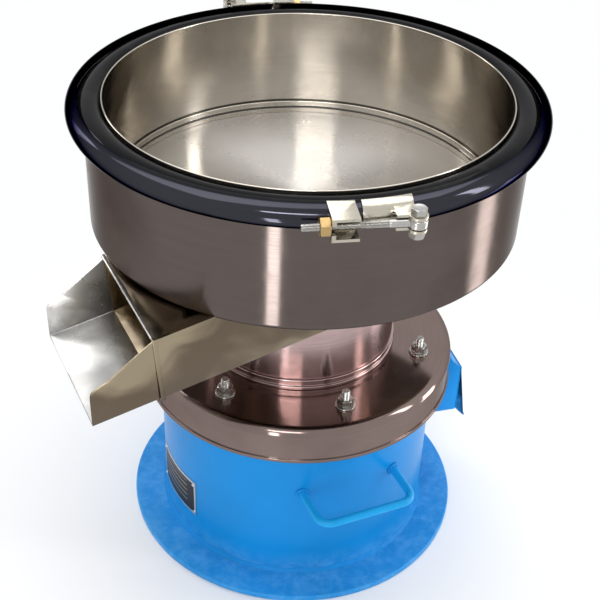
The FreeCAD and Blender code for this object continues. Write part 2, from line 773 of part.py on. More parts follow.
def build_mouth_frame():
    bead = S.mouth_bead
    frame_low = chute_floor(mouth_foot) - bead
    frame_high = mouth_top + bead
    band = across("MouthBand", [
        (mouth_foot - bead, frame_low), (mouth_foot + bead, frame_low),
        (mouth_reach + bead, frame_high), (mouth_reach - bead, frame_high)],
        duct_near - bead, duct_far + bead)
    run = S.trough_corner / 2
    filled = across("MouthFill", [
        (mouth_foot - run, chute_floor(mouth_foot - run)), (mouth_foot + run, chute_floor(mouth_foot + run)),
        (mouth_reach + run, mouth_top - run * slope), (mouth_reach - run, mouth_top + run * slope)],
        duct_near, duct_far)
    node(in_chute_frame("MouthPlace", cut("MouthCut", band, filled)), "mouth_frame")


# ---------------------------------------------------------------- basket

def build_basket():
    inner = basket_radius
    outer = basket_radius + S.basket_wall
    rubber_outer = lip_radius - S.clamp_fit
    flange_radius = rubber_outer - S.flange_inset
    gasket_low = rim_top + S.running_gap
    flange_low = gasket_low + S.gasket_under
    flange_high = flange_low + S.flange_sheet
    lip_top = flange_low + S.basket_lip
    ledge_low = tub_floor_top + S.mesh_clearance
    ledge_top = ledge_low + S.basket_wall
    ledge_bore = inner - S.mesh_ledge
    mesh_top = ledge_top + S.mesh_thickness
    shell = turned("Basket", [
        (ledge_bore, ledge_low), (outer, ledge_low), (outer, flange_low), (flange_radius, flange_low),
        (flange_radius, flange_high), (outer, flange_high), (outer, lip_top), (inner, lip_top),
        (inner, ledge_top), (ledge_bore, ledge_top)])
    node(shell, "basket_shell")
    mesh = turned("Mesh", [(ZERO, ledge_top), (inner, ledge_top), (inner, mesh_top), (ZERO, mesh_top)])
    node(mesh, "sieve_mesh")
    ring_bore = inner - S.mesh_ring_width
    ring_top = mesh_top + S.mesh_ring_height
    ring = turned("MeshRing", [
        (ring_bore, mesh_top), (inner, mesh_top), (inner, ring_top), (ring_bore, ring_top)])
    node(ring, "mesh_ring")

    gasket_top = flange_high + S.gasket_over
    under_bore = tub_bore - S.running_gap
    gasket = turned("Gasket", [
        (under_bore, gasket_low), (rubber_outer, gasket_low), (rubber_outer, gasket_top),
        (outer, gasket_top), (outer, flange_high), (flange_radius, flange_high),
        (flange_radius, flange_low), (under_bore, flange_low)])
    rounded(gasket, S.gasket_round, circle_at(rubber_outer, gasket_top))
    rounded(gasket, S.gasket_round, circle_at(outer, gasket_top))
    node(gasket, "basket_gasket")


# ---------------------------------------------------------------- clamp ring

def clamp_turn(end):
    """Azimuth of the clamp frame: its -Y axis points out through the split."""
    return S.clamp_azimuth + 90 + (0 if end == "front" else 180)


def build_ring_half(label, azimuth):
    gap_angle = S.clamp_gap / lip_radius * (180 / math.pi)
    sweep = 180 - gap_angle
    shape = cut(label + "Cut", half_tube(label + "Tube", S.clamp_tube_radius, sweep=sweep),
                half_tube(label + "Hollow", tube_inside, sweep=sweep))
    node(turn(shape, azimuth + gap_angle / 2), label)


def saddle(name, start, width):
    """A curved pad that lies on the clamp ring between two places along the bolt."""
    pad_radius = S.clamp_tube_radius + S.saddle_sheet
    crown = cut(name + "Crown", half_tube(name + "Top", pad_radius, last=S.saddle_angle),
                half_tube(name + "Tube", S.clamp_tube_radius))
    block = box(name + "Block", width, bolt_reach, pad_radius * 2,
                start, bolt_reach * -1, clamp_middle - pad_radius)
    return common(name + "Pad", crown, block)


def build_pivot_end(end):
    place = (S.pivot_along, bolt_reach * -1)
    half_gap = S.eye_height / 2 + S.running_gap
    lug_top = bolt_level + half_gap + S.lug_sheet
    lug_bottom = bolt_level - half_gap - S.lug_sheet
    pad = saddle(end + "PivotPad", S.clamp_gap, S.pivot_along - S.clamp_gap)
    lugs = []
    for low in (lug_bottom, bolt_level + half_gap):
        lugs.append(box(end + "LugArm", S.lug_length, bolt_reach - bracket_inner, S.lug_sheet,
                        S.pivot_along - S.lug_length, bolt_reach * -1, low))
        lugs.append(cylinder(end + "LugEye", S.eye_radius, S.lug_sheet, *place, low))
    tube = half_tube(end + "PivotTube", S.clamp_tube_radius)
    bore = drill(end + "LugBore", S.bolt_radius, lug_bottom, lug_top - lug_bottom, *place)
    bracket = cut(end + "PivotCut", fuse(end + "PivotBody", pad, *lugs), tube, bore)
    node(turn(bracket, clamp_turn(end)), "pivot_bracket_" + end)

    corner = S.nut_corner_radius * S.pin_nut_share
    thick = S.nut_height * S.pin_nut_share
    shank = cylinder(end + "PinShank", S.bolt_radius, lug_top - lug_bottom + S.nut_height,
                     *place, lug_bottom - S.nut_height)
    head = hexagon(end + "PinHead", corner, thick, *place, lug_top)
    node(turn(fuse(end + "Pin", shank, head), clamp_turn(end)), "pivot_pin_" + end)
    blank = hexagon(end + "PinNutBlank", corner, thick, *place, lug_bottom - thick)
    hole = drill(end + "PinNutBore", S.bolt_radius, lug_bottom - thick, thick, *place)
    node(turn(cut(end + "PinNut", blank, hole), clamp_turn(end)), "pivot_nut_" + end)


def build_fork_end(end):
    outer_face = (S.fork_along + S.fork_sheet) * -1
    length = S.fork_along + S.fork_sheet + S.clamp_gap * S.fork_cover_share
    low = bolt_level - S.fork_height / 2
    outboard = (bolt_reach + S.fork_reach) * -1
    depth = bolt_reach + S.fork_reach - bracket_inner
    plate = box(end + "ForkPlate", S.fork_sheet, depth, S.fork_height, outer_face, outboard, low)
    flanges = [box(end + "ForkFlange", length, depth, S.lug_sheet, outer_face, outboard, z)
               for z in (low, low + S.fork_height - S.lug_sheet)]
    pad = saddle(end + "ForkPad", outer_face, length)
    slot_width = S.bolt_radius * 2 + S.slot_play
    slot = box(end + "ForkSlot", S.fork_sheet * 3, depth, slot_width, outer_face - S.fork_sheet,
               slot_width / 2 - bolt_reach - depth, bolt_level - slot_width / 2)
    tube = half_tube(end + "ForkTube", S.clamp_tube_radius)
    fork = cut(end + "ForkCut", fuse(end + "ForkBody", plate, pad, *flanges), tube, slot)
    node(turn(fork, clamp_turn(end)), "fork_bracket_" + end)


def build_swing_bolt(end):
    outward = bolt_reach * -1
    eye_low = bolt_level - S.eye_height / 2
    loose = S.bolt_radius + S.pin_fit
    eye = cylinder(end + "Eye", S.eye_radius, S.eye_height, S.pivot_along, outward, eye_low)
    shank = cylinder(end + "Shank", S.bolt_radius, S.pivot_along + S.bolt_tip,
                     S.bolt_tip * -1, outward, bolt_level, "X")
    bore = drill(end + "EyeBore", loose, eye_low, S.eye_height, S.pivot_along, outward)
    bolt = cut(end + "BoltCut", fuse(end + "BoltBody", eye, shank), bore)
    node(turn(bolt, clamp_turn(end)), "swing_bolt_" + end)

    start = (S.fork_along + S.fork_sheet + S.running_gap + S.clamp_nut_length) * -1
    blank = hexagon(end + "ClampNutBlank", S.nut_corner_radius, S.clamp_nut_length,
                    start, outward, bolt_level, "X")
    hole = drill(end + "ClampNutBore", loose, start, S.clamp_nut_length, outward, bolt_level, "X")
    node(turn(cut(end + "ClampNut", blank, hole), clamp_turn(end)), "clamp_nut_" + end)


build_base()
build_mounts()
build_handle("carry_handle_right", S.handle_azimuth)
build_handle("carry_handle_left", S.handle_azimuth + 180)
build_terminal_box()
build_nameplate()
build_deck()
build_motor()
build_tub_and_chute()
build_basket()
build_ring_half("ring_half_right", S.clamp_azimuth)
build_ring_half("ring_half_left", S.clamp_azimuth + 180)
for clamp_end in ("front", "rear"):
    build_pivot_end(clamp_end)
    build_fork_end(clamp_end)
    build_swing_bolt(clamp_end)

doc.recompute()

for obj in doc.Objects:
    if "Invalid" in obj.State or "Error" in obj.State:
        raise RuntimeError("%s is %s" % (obj.Label, obj.State))
for obj in nodes:
    if obj.Shape.isNull() or not obj.Shape.isValid() or not obj.Shape.Solids:
        raise RuntimeError(obj.Label + " has no valid solid")

os.makedirs("parts", exist_ok=True)
for obj in nodes:
    obj.Shape.exportStep("parts/%s.step" % obj.Label)
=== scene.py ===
"""Looks of the vibrating sieve: pieces with their finishes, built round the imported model.

Shapes are worked out in millimetres as arrays of points and quads, and piece() turns them
into metres. Clamp pieces are laid out in the clamp's own frame, where X runs along the swing
bolt and -Y points outward, and the chute in a frame whose X runs along the channel.
"""
import math

import bmesh
import bpy
import numpy as np
from mathutils import Matrix, Vector
from mathutils.geometry import tessellate_polygon


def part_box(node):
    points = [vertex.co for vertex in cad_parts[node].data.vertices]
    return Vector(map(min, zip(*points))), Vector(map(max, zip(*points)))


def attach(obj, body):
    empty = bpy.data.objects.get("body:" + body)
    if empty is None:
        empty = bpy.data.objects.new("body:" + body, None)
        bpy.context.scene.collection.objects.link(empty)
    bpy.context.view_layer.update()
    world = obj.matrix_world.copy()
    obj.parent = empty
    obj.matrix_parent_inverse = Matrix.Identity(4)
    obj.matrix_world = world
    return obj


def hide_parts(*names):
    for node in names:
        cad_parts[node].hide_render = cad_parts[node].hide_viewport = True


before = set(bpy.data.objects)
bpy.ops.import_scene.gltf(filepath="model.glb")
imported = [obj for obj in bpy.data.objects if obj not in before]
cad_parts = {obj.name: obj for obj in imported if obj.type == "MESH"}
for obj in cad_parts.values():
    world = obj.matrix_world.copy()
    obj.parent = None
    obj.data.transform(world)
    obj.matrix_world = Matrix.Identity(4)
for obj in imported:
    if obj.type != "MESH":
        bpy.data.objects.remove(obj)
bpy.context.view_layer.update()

MM = 0.001
TURN = 2 * math.pi


# ---------------------------------------------------------------- sizes read from the model

def high(node, axis=2):
    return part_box(node)[1][axis] / MM


def low(node, axis=2):
    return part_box(node)[0][axis] / MM


SHELL = high("base_shell", 0)
FOOT = high("foot_ring", 0)
FOOT_TOP = high("foot_ring")
COVER_HEM = high("deck_cover", 0)
COVER_TOP = high("deck_cover")
COVER_LOW = low("deck_cover")
NECK = high("neck", 0)
COLLAR_TOP = high("neck_collar")
TUB_LOW = low("tub")
TUB_TOP = high("tub")
TUB_RIM = high("tub", 0)
GASKET_LOW = low("basket_gasket")
GASKET_TOP = high("basket_gasket")
GASKET = high("basket_gasket", 0)
BASKET_LOW = low("basket_shell")
BASKET_TOP = high("basket_shell")
BASKET_FLANGE = high("basket_shell", 0)
MESH_LOW = low("sieve_mesh")
MESH = high("sieve_mesh", 0)
MESH_RING_TOP = high("mesh_ring")
CLAMP_LOW = low("ring_half_right")
CLAMP_HIGH = high("ring_half_right")

# sizes that no box gives
FOOT_BORE = 150
COVER_SHEET = 2.5
COVER_BORE = 60
TUB_SIDE = 248
TUB_SHEET = 2.5
TUB_FLOOR = 3
TUB_CORNER = 8
# sides of the opening in the tub's floor, in the chute's frame: across it, then along it
HOLE_NEAR, HOLE_FAR = 168, 5
HOLE_FRONT, HOLE_BACK = 168.3, -212.8
BASKET_SIDE = 225
BASKET_SHEET = 2
CLAMP_MIDDLE = (CLAMP_LOW + CLAMP_HIGH) / 2
CLAMP_TUBE = (CLAMP_HIGH - CLAMP_LOW) / 2
CLAMP_LIP = 253
CLAMP_SHEET = 2
CLAMP_AZIMUTH = 5
RING_GAP = 10
CHUTE_AZIMUTH = 202
HANDLE_AZIMUTH = -70
HANDLE_HALF = 61
HANDLE_WELD = 6.2
HANDLE_LEVEL = (low("carry_handle_right") + high("carry_handle_right")) / 2
PLATE_AZIMUTH = -153.5
PLATE_ANGLE = 29.6
MOUNTS = [-72.5 + side + 54.5 * place for side in (0, 180) for place in (-1, 0, 1)]
MOUNT_CIRCLE = 155
BOLT_OUT = 277
BOLT_LEVEL = CLAMP_MIDDLE + 3
BOLT_RADIUS = 4
PIVOT_ALONG = 59
BOLT_TIP = 49
EYE_HALF = 5
NUT_ALONG = -32.3
PIN_HEAD = 8.3
NUT_CORNER = 9.8
PIN_NUT_CORNER = 0.8 * NUT_CORNER
THREAD = 1.25


# ---------------------------------------------------------------- shapes: points and quads

def joined(*shapes):
    """Several shapes as one: the points in a row, and the quads counted on."""
    points, quads, start = [], [], 0
    for shape_points, shape_quads in shapes:
        points.append(shape_points)
        quads.append(shape_quads + start)
        start += len(shape_points)
    return np.concatenate(points), np.concatenate(quads)


def grid(points, close_rows, close_columns):
    """Quads over a grid of points of shape rows x columns x 3, closed either way where asked."""
    rows, columns = points.shape[:2]
    index = np.arange(rows * columns).reshape(rows, columns)
    if close_rows:
        index = np.concatenate([index, index[:1]])
    if close_columns:
        index = np.concatenate([index, index[:, :1]], axis=1)
    quads = np.stack([index[:-1, :-1], index[1:, :-1], index[1:, 1:], index[:-1, 1:]], axis=-1)
    return points.reshape(-1, 3), quads.reshape(-1, 4)


def soft_corners(corners, steps=6, support=0.6):
    """A closed outline whose corners (x, y, radius) become arcs.

    Each arc touches both sides at radius / tan(half the inner angle) from the corner, and a
    support point on each side keeps the flat beyond it flat.
    """
    points = []
    count = len(corners)
    for index, (x, y, radius) in enumerate(corners):
        here = np.array([x, y], float)
        before = np.array(corners[index - 1][:2], float) - here
        after = np.array(corners[(index + 1) % count][:2], float) - here
        reach = [np.linalg.norm(before), np.linalg.norm(after)]
        before, after = before / reach[0], after / reach[1]
        half = math.acos(max(-1.0, min(1.0, float(before @ after)))) / 2
        if radius <= 0 or half > math.pi / 2 - 1e-3:
            points.append(here)
            continue
        touch = min(radius / math.tan(half), 0.49 * min(reach))
        true_radius = touch * math.tan(half)
        middle = here + (before + after) / np.linalg.norm(before + after) * true_radius / math.sin(half)
        first, last = here + before * touch - middle, here + after * touch - middle
        swing = math.pi - 2 * half
        side = math.copysign(1.0, first[0] * last[1] - first[1] * last[0])
        if reach[0] > 2 * (touch + support):
            points.append(here + before * (touch + support))
        for step in range(steps + 1):
            turn = side * swing * step / steps
            cosine, sine = math.cos(turn), math.sin(turn)
            points.append(middle + np.array([first[0] * cosine - first[1] * sine,
                                             first[0] * sine + first[1] * cosine]))
        if reach[1] > 2 * (touch + support):
            points.append(here + after * (touch + support))
    return np.array(points)


def revolved(outline, segments=256, start=0.0, sweep=TURN, wave=None):
    """An outline (radius, height) carried round Z: x = r cos a, y = r sin a, z = h.

    wave(angle, outline) may return the outline's points for each angle. A part turn is closed
    at both ends by a fan of quads across the outline.
    """
    outline = np.asarray(outline, float)
    after = np.roll(outline, -1, axis=0)
    if np.sum(outline[:, 0] * after[:, 1] - after[:, 0] * outline[:, 1]) < 0:
        outline = outline[::-1]
    whole = abs(sweep - TURN) < 1e-9
    angle = start + np.linspace(0, sweep, segments if whole else segments + 1, endpoint=not whole)
    radius = np.broadcast_to(outline[None, :, 0], (len(angle), len(outline)))
    height = np.broadcast_to(outline[None, :, 1], (len(angle), len(outline)))
    if wave is not None:
        radius, height = wave(angle[:, None], radius, height)
    points = np.stack([radius * np.cos(angle)[:, None], radius * np.sin(angle)[:, None], height], axis=-1)
    points, quads = grid(points, whole, True)
    if not whole:
        quads = np.concatenate([quads, end_caps(len(angle), len(outline))])
    return points, quads


def end_caps(rows, columns):
    """Quads that close both ends of a part turn, across an outline of an even count."""
    left = np.arange(columns // 2)
    right = columns - 1 - left
    cap = np.stack([left[:-1], left[1:], right[1:], right[:-1]], axis=-1)
    return np.concatenate([cap, (cap + (rows - 1) * columns)[:, ::-1]])


def placed(shape, matrix):
    """A shape carried by a matrix in millimetres."""
    points, quads = shape
    matrix = np.array(matrix)
    return points @ matrix[:3, :3].T + matrix[:3, 3], quads


def shift(x=0.0, y=0.0, z=0.0):
    return Matrix.Translation((x, y, z))


def about_z(degrees):
    return Matrix.Rotation(math.radians(degrees), 4, "Z")


ALONG_X = Matrix.Rotation(math.radians(90), 4, "Y")


def hexagon_radius(angle, flat):
    """Distance from the middle to a hexagon's side: flat / cos of the angle from its middle."""
    return flat / np.cos((angle % (TURN / 6)) - TURN / 12)


def hex_nut(corner, height, bore, segments=96):
    """A chamfered nut: at each level the smaller of the hexagon and a 30 degree cone."""
    flat = corner * math.cos(math.pi / 6)
    cone = flat * 0.97
    rise = (corner - cone) * math.tan(math.radians(30))
    steps = np.array([0, 0.25, 0.5, 0.75, 1.0]) * rise
    levels = np.concatenate([steps, height - steps[::-1]])
    limit = cone + np.concatenate([steps, steps[::-1]]) / math.tan(math.radians(30))
    angle = np.linspace(0, TURN, segments, endpoint=False)[:, None]
    outer = np.minimum(hexagon_radius(angle, flat), limit[None, :])
    lead = min(1.0, height / 6)
    inner = [(bore, height - lead), (bore, lead)]
    if bore > 0:
        inner = [(bore + lead, height)] + inner + [(bore + lead, 0.0)]
    radius = np.concatenate([outer] + [np.full_like(angle, r) for r, _ in inner], axis=1)
    heights = np.concatenate([levels, [h for _, h in inner]])[None, :] + angle * 0
    points = np.stack([radius * np.cos(angle), radius * np.sin(angle), heights], axis=-1)
    return grid(points, True, True)


def threaded(radius, length, pitch, first=0.0, last=None, segments=36):
    """A rod along Z with a screw thread between two heights.

    r = R - depth x triangle(z / pitch + angle / 360), faded out over one pitch at each end of
    the thread, and run in to the axis over a 45 degree point at both ends of the rod.
    """
    last = length if last is None else last
    depth = pitch * 0.5
    rows = np.concatenate([np.arange(0, length, pitch / 7), [length]])
    angle = np.linspace(0, TURN, segments, endpoint=False)[:, None]
    phase = (rows[None, :] / pitch + angle / TURN) % 1
    groove = np.clip(2.4 * np.abs(phase - 0.5) - 0.1, 0, 1)
    fade = np.clip((rows - first) / pitch, 0, 1) * np.clip((last - rows) / pitch, 0, 1)
    outer = radius - depth * groove * fade[None, :]
    point = np.minimum(rows, length - rows)[None, :] + radius - depth * 1.4
    outer = np.minimum(outer, point)
    ends = np.zeros_like(angle)
    spread = np.concatenate([ends, outer, ends], axis=1)
    heights = np.concatenate([[0.0], rows, [length]])[None, :] + angle * 0
    points = np.stack([spread * np.cos(angle), spread * np.sin(angle), heights], axis=-1)
    return grid(points, True, False)


def tube_along(path, radius, segments=12):
    """A closed round tube whose middle follows points: each ring lies across the path's direction.

    The rings are turned by the X axis, so no stretch of the path may run along X.
    """
    along = np.roll(path, -1, axis=0) - np.roll(path, 1, axis=0)
    along /= np.linalg.norm(along, axis=1, keepdims=True)
    side = np.cross([1.0, 0.0, 0.0], along)
    side /= np.linalg.norm(side, axis=1, keepdims=True)
    other = np.cross(along, side)
    angle = np.linspace(0, TURN, segments, endpoint=False)[None, :, None]
    ring = side[:, None] * np.cos(angle) + other[:, None] * np.sin(angle)
    points = path[:, None] + ring * radius[:, None, None]
    return grid(points[:, ::-1], True, True)


# ---------------------------------------------------------------- making pieces

def piece(name, shape, body, finish, replaces=(), sharp=35, merge=False, triangles=()):
    """A mesh piece in metres that rides on a body and takes a finish."""
    points, quads = shape
    mesh = bpy.data.meshes.new(name)
    mesh.from_pydata((points * MM).tolist(), [], quads.tolist() + list(triangles))
    if merge:
        work = bmesh.new()
        work.from_mesh(mesh)
        bmesh.ops.remove_doubles(work, verts=work.verts, dist=1e-7)
        bmesh.ops.recalc_face_normals(work, faces=work.faces)
        work.to_mesh(mesh)
        work.free()
    mesh.validate()
    mesh.shade_smooth()
    mesh.set_sharp_from_angle(angle=math.radians(sharp))
    obj = bpy.data.objects.new(name, mesh)
    bpy.context.scene.collection.objects.link(obj)
    mesh.materials.append(finish)
    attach(obj, body)
    if replaces:
        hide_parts(*replaces)


def softened(node, body, finish, width):
    """A copy of a node, its points merged, with its sharp edges rounded to a width in millimetres."""
    work = bmesh.new()
    work.from_mesh(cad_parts[node].data)
    bmesh.ops.remove_doubles(work, verts=work.verts, dist=2e-6)
    bmesh.ops.dissolve_limit(work, angle_limit=math.radians(0.5), verts=work.verts, edges=work.edges)
    mesh = bpy.data.meshes.new(node + "_shaped")
    work.to_mesh(mesh)
    work.free()
    mesh.shade_smooth()
    mesh.materials.append(finish)
    obj = bpy.data.objects.new(node + "_shaped", mesh)
    bpy.context.scene.collection.objects.link(obj)
    bevel = obj.modifiers.new("EdgeRound", "BEVEL")
    bevel.width = width * MM
    bevel.segments = 2
    bevel.limit_method = "ANGLE"
    bevel.angle_limit = math.radians(30)
    bevel.harden_normals = True
    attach(obj, body)
    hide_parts(node)


def dress(node, finish):
    """Give a node of the model its finish."""
    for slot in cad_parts[node].material_slots:
        slot.material = finish


# ---------------------------------------------------------------- finishes

class Wire:
    """A value on its way through a material: sums and products of wires add their nodes."""

    def __init__(self, web, socket):
        self.web = web
        self.socket = socket

    def maths(self, operation, *values):
        return self.web.node("ShaderNodeMath", dict(operation=operation), dict(enumerate(values)))

    def __add__(self, other):
        return self.maths("ADD", self, other)

    def __sub__(self, other):
        return self.maths("SUBTRACT", self, other)

    def __mul__(self, other):
        return self.maths("MULTIPLY", self, other)

    def __truediv__(self, other):
        return self.maths("DIVIDE", self, other)

    def __radd__(self, other):
        return self.maths("ADD", other, self)

    def __rsub__(self, other):
        return self.maths("SUBTRACT", other, self)

    def __rmul__(self, other):
        return self.maths("MULTIPLY", other, self)

    def __rtruediv__(self, other):
        return self.maths("DIVIDE", other, self)

    def root(self):
        return self.maths("SQRT", self)

    def wave(self):
        return self.maths("SINE", self)

    def size(self):
        return self.maths("ABSOLUTE", self)

    def larger(self, other):
        return self.maths("MAXIMUM", self, other)

    def angle(self, beside):
        """The angle whose tangent is this over another value."""
        return self.maths("ARCTAN2", self, beside)

    def part(self):
        """What is left after the whole number below it."""
        return self.maths("FRACT", self)

    def step(self, start, end):
        """0 below start, 1 above end, smooth between."""
        ranged = dict(interpolation_type="SMOOTHSTEP")
        return self.web.node("ShaderNodeMapRange", ranged, {0: self, 1: start, 2: end})

    def band(self, middle, half, soft):
        """1 within half of a middle value, 0 outside."""
        away = (self - middle).size()
        return 1 - away.step(half - soft, half + soft)


class Web:
    """A tree of nodes being put together."""

    def __init__(self, tree):
        self.tree = tree

    def node(self, kind, settings=None, inputs=None, output=0):
        """A node of a type, its settings first, then the values or links of its sockets."""
        made = self.tree.nodes.new(kind)
        for key, value in (settings or {}).items():
            setattr(made, key, value)
        for key, value in (inputs or {}).items():
            if isinstance(value, Wire):
                self.tree.links.new(value.socket, made.inputs[key])
            else:
                made.inputs[key].default_value = value
        return made if output is None else Wire(self, made.outputs[output])

    def backdrop_rays(self):
        """1 for rays from the camera, off gloss and through clear things, 0 for all others."""
        path = self.node("ShaderNodeLightPath", output=None)
        camera, gloss, clear = (Wire(self, path.outputs["Is " + kind + " Ray"])
                                for kind in ("Camera", "Glossy", "Transmission"))
        return camera.larger(gloss).larger(clear)


class Finish(Web):
    """A node material being put together."""

    def __init__(self, name):
        self.material = bpy.data.materials.new(name)
        self.material.use_nodes = True
        super().__init__(self.material.node_tree)
        self.shader = self.tree.nodes["Principled BSDF"]
        self.place = self.node("ShaderNodeTexCoord", output="Object")
        split = self.node("ShaderNodeSeparateXYZ", inputs={0: self.place}, output=None)
        self.x, self.y, self.z = (Wire(self, split.outputs[axis]) for axis in range(3))

    def noise(self, scale, detail=2.0, rough=0.5, at=None):
        return self.node("ShaderNodeTexNoise", None, {
            "Vector": at or self.place, "Scale": scale, "Detail": detail, "Roughness": rough})

    def stretched(self, along_x, along_y, along_z):
        return self.node("ShaderNodeMapping", dict(vector_type="POINT"), {
            "Vector": self.place, "Scale": (along_x, along_y, along_z)})

    def turned(self, degrees):
        """The two level coordinates in a frame turned round Z."""
        cosine, sine = math.cos(math.radians(degrees)), math.sin(math.radians(degrees))
        return self.x * cosine + self.y * sine, self.y * cosine - self.x * sine

    def radius(self):
        return (self.x * self.x + self.y * self.y).root()

    def tint(self, factor, first, second):
        """A colour between two colours."""
        return self.node("ShaderNodeMix", dict(data_type="RGBA"), {
            0: factor, 6: rgba(first), 7: rgba(second)}, output=2)

    def bump(self, height, strength, distance, under=None):
        inputs = {"Height": height, "Strength": strength, "Distance": distance}
        if under is not None:
            inputs["Normal"] = under
        return self.node("ShaderNodeBump", None, inputs)

    def finish(self, **sockets):
        """Feed the surface's sockets, named with _ for a space, and hand back the material."""
        for name, value in sockets.items():
            socket = self.shader.inputs[name.replace("_", " ")]
            if isinstance(value, Wire):
                self.tree.links.new(value.socket, socket)
            else:
                socket.default_value = rgba(value) if isinstance(value, tuple) else value
        return self.material


def rgba(colour):
    return colour if isinstance(colour, Wire) or len(colour) == 4 else (*colour, 1.0)


def enamel(name, colour, dust=0.0, rough=0.3):
    """Gloss paint with orange peel, a slow change of tone, and dust and grit low down."""
    f = Finish(name)
    tone = f.noise(5.0, 3.0)
    fine = f.noise(420.0, 2.0)
    base = f.tint(tone.step(0.35, 0.7), colour, tuple(c * 0.82 for c in colour))
    scuff = f.noise(38.0, 6.0, 0.7).step(0.6, 0.8)
    low_down = 1 - f.z.step(0.004, 0.05)
    mottle = f.noise(55.0, 5.0, 0.7).step(0.35, 0.7)
    base = f.tint((mottle + 0.3) * low_down * dust, base, (0.09, 0.36, 0.72))
    grit = f.noise(130.0, 4.0, 0.7).step(0.63, 0.70) * f.noise(14.0, 2.0).step(0.45, 0.6)
    base = f.tint(grit * low_down * dust, base, (0.34, 0.42, 0.50))
    peel = f.bump(fine + f.noise(140.0, 1.0) * 1.5, 0.10, 0.0006)
    return f.finish(Base_Color=base, Roughness=scuff * 0.16 + rough, Normal=peel, Specular_IOR_Level=0.16)


def sheet_steel(name, colour, rough=0.1, line=800.0, grain=0.8, stains=0.3, painted_shade_lines=(),
                edge=(0.5, 0.48, 0.47)):
    """Sheet steel polished round the axis in fine lines.

    The lines are noise read at (line * radius, a slow change, line * height), so they lie level
    on a wall and as rings on a flat. grain is how far they draw a light out across themselves,
    stains is how much duller its slow clouds are, the list of (height, half width) after them
    gives dark bands of painted shade, where a step or a part against the wall would shade it,
    and edge is the tint at glancing angles.
    """
    f = Finish(name)
    lines = f.noise(1.0, 1.0, 0.5, at=f.node("ShaderNodeCombineXYZ", None, {
        0: f.radius() * line, 1: f.x * 12.0, 2: f.z * line}))
    stain = f.noise(7.0, 4.0, 0.55).step(0.4, 0.75)
    haze = f.noise(38.0, 3.0, 0.5).step(0.45, 0.8)
    base = f.tint(stain * stains, colour, tuple(c * 0.45 for c in colour))
    base = f.tint(lines.step(0.3, 0.7) * 0.25, base, tuple(c * 0.7 for c in colour))
    # Painted shade: dark bands at the listed heights, where a step or a part standing against the wall
    # would shade it.
    for height, half in painted_shade_lines:
        base = f.tint(f.z.band(height * MM, half * MM, 0.0003) * 0.9, base, (0.02, 0.02, 0.018))
    dents = f.bump(f.noise(9.0, 1.0), 0.5, 0.0004)
    return f.finish(Base_Color=base, Metallic=1.0, Roughness=haze * 0.05 + lines * 0.06 + rough,
                    Specular_Tint=edge, Anisotropic=grain, Anisotropic_Rotation=0.25,
                    Normal=f.bump(lines, 0.02, 0.0001, dents))


# Dark and pale tones of the chute's painted swirl reflections.
CHUTE_DARK, CHUTE_PALE = (0.135, 0.105, 0.075), (0.33, 0.275, 0.19)
# from where to where across the chute, in metres, its near wall takes over from its floor
CHUTE_NEAR_WALL = (0.1665, 0.1685)


def chute_sheet(name, painted_bright_inside):
    """Hand-polished sheet of the chute, in the chute's own frame turned round Z.

    It is warm, with paler swirls, which are noise read at a place that other noise has pushed
    aside, and slow dents. The paler swirls are painted reflections of the polish waves. Where
    the second argument is set, all but its near wall is painted brighter, a painted reflection,
    and made rougher.
    """
    f = Finish(name)
    along, aside = f.turned(CHUTE_AZIMUTH)
    push = f.noise(8.0, 2.0)
    place = f.node("ShaderNodeCombineXYZ", None, {
        0: along * 6.0, 1: aside * 9.0, 2: f.z * 11.0 + push * 2.2})
    # Painted reflection: paler swirls standing in for what the polish waves mirror.
    swirl_reflection = f.noise(1.0, 3.0, 0.5, at=place).step(0.42, 0.62)
    base = f.tint(swirl_reflection, CHUTE_DARK, CHUTE_PALE)
    bright_inside_reflection = 0.0
    # Painted reflection: all but the near wall is painted brighter.
    if painted_bright_inside:
        bright_inside_reflection = 1 - aside.step(*CHUTE_NEAR_WALL)
        base = f.tint(bright_inside_reflection, base, f.tint(swirl_reflection, (0.36, 0.355, 0.345), (0.66, 0.65, 0.63)))
    haze = f.noise(24.0, 3.0).step(0.4, 0.8)
    return f.finish(Base_Color=base, Metallic=1.0, Roughness=haze * 0.08 + bright_inside_reflection * 0.12 + 0.12,
                    Normal=f.bump(f.noise(13.0, 2.0), 0.6, 0.0016))


def plated(name, colour, rough=0.25, spots=0.5):
    """Plated or cast metal with small spots of duller colour."""
    f = Finish(name)
    spot = f.noise(160.0, 5.0, 0.65).step(0.5, 0.72)
    slow = f.noise(30.0, 2.0)
    base = f.tint(spot * spots, colour, tuple(c * 0.45 for c in colour))
    base_rough = slow * 0.16 + spot * 0.15 + rough
    return f.finish(Base_Color=base, Metallic=1.0, Roughness=base_rough,
                    Normal=f.bump(f.noise(300.0, 3.0), 0.15, 0.0002))


def woven_mesh(name, pitch=0.0013):
    """Woven wire cloth: crossing wires as two waves, sin(turn x / pitch) and sin(turn y / pitch).

    It has slow dull clouds, and draws a light out along its radii as sheet_steel does.
    """
    f = Finish(name)
    across = (f.x * (TURN / pitch)).wave()
    along = (f.y * (TURN / pitch)).wave()
    hole = (across * along * 0.5 + 0.5).step(0.0, 0.35)
    cloud = f.noise(8.0, 4.0, 0.6).step(0.35, 0.75)
    base = f.tint(cloud * 0.4, (0.60, 0.575, 0.55), (0.42, 0.40, 0.38))
    base = f.tint((1 - hole) * 0.4, base, (0.16, 0.15, 0.15))
    height = f.bump(across * across + along * along, 0.2, 0.00006)
    return f.finish(Base_Color=base, Metallic=1.0, Roughness=cloud * 0.04 + 0.26, Anisotropic=1.0,
                    Anisotropic_Rotation=0.25, Normal=height)


